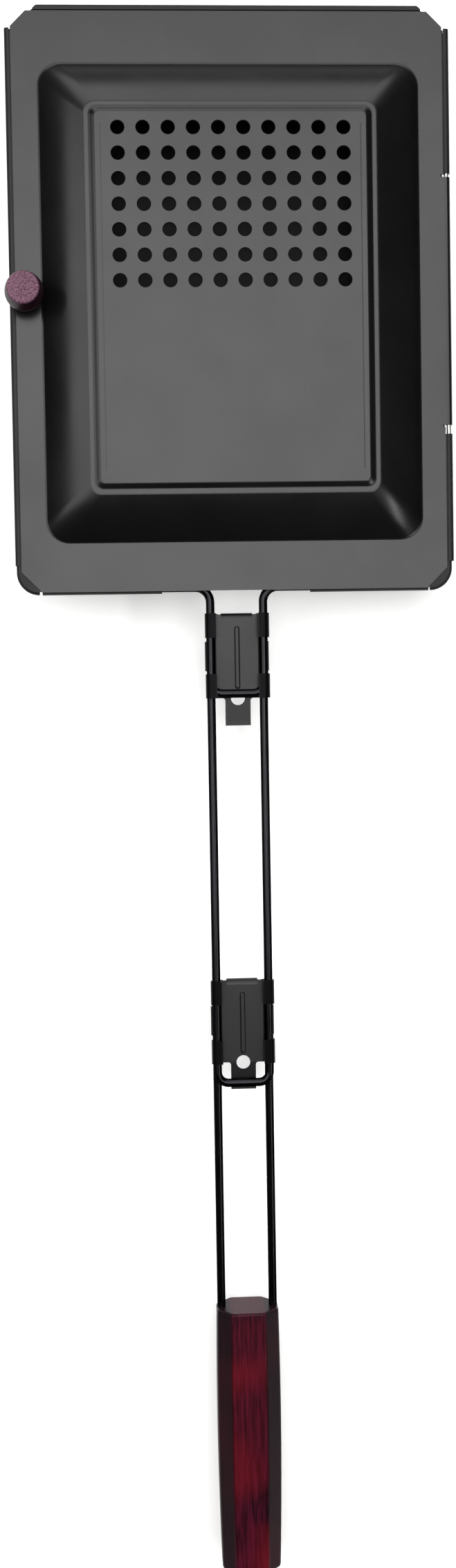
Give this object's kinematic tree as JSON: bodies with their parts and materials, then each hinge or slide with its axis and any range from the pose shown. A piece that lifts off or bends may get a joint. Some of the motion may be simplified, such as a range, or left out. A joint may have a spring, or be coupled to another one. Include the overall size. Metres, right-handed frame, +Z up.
{
  "type": "campfire popcorn popper",
  "caption": "Rectangular non-stick steel pan with a hinged, perforated domed lid, a wooden lid knob and a long telescoping wire handle with a wooden grip, for popping corn over a fire",
  "frame": {"origin": "middle of the flat underside of the pan, which is what the popper stands on", "axes": "+Z up, +Y from the grip towards the pan along the handle, +X towards the lid's hinge"},
  "size_m": [0.2082, 0.7444, 0.0552],
  "materials": {
    "pan_coating": "satin black non-stick coating on pressed steel",
    "lid_coating": "satin black non-stick coating on pressed steel",
    "pin_steel": "bright drawn steel wire",
    "screw_steel": "zinc-plated screw",
    "wire_coating": "glossy black coating on drawn steel wire",
    "plate_coating": "satin black coating on stamped steel",
    "knob_wood": "turned hardwood, dark reddish stain and varnish",
    "grip_wood": "shaped hardwood, dark reddish-brown stain and varnish"
  },
  "bodies": {
    "pan": {"pan": "pan_coating", "hinge_pin": "pin_steel"},
    "lid": {"lid": "lid_coating", "lid_knob": "knob_wood", "knob_screw": "screw_steel"},
    "front_loop": {"front_wire_loop": "wire_coating"},
    "middle_section": {"middle_wire_loop": "wire_coating", "upper_slider_plate": "plate_coating"},
    "rear_section": {"rear_wire_loop": "wire_coating", "lower_slider_plate": "plate_coating", "wooden_grip": "grip_wood"}
  },
  "joints": [
    {"name": "lid_hinge", "type": "hinge", "parent": "pan", "child": "lid", "pos_m": [0.1016, 0, 0.037], "axis": [0, 1, 0], "range_deg": [0, 180]},
    {"name": "handle_fold", "type": "hinge", "parent": "pan", "child": "front_loop", "pos_m": [0, -0.13295, 0.03525], "axis": [1, 0, 0], "range_deg": [0, 105]},
    {"name": "upper_slide", "type": "slide", "parent": "front_loop", "child": "middle_section", "axis": [0, 1, 0], "range_m": [0, 0.005]},
    {"name": "lower_slide", "type": "slide", "parent": "middle_section", "child": "rear_section", "axis": [0, 1, 0], "range_m": [-0.0115, 0.107]}
  ]
}
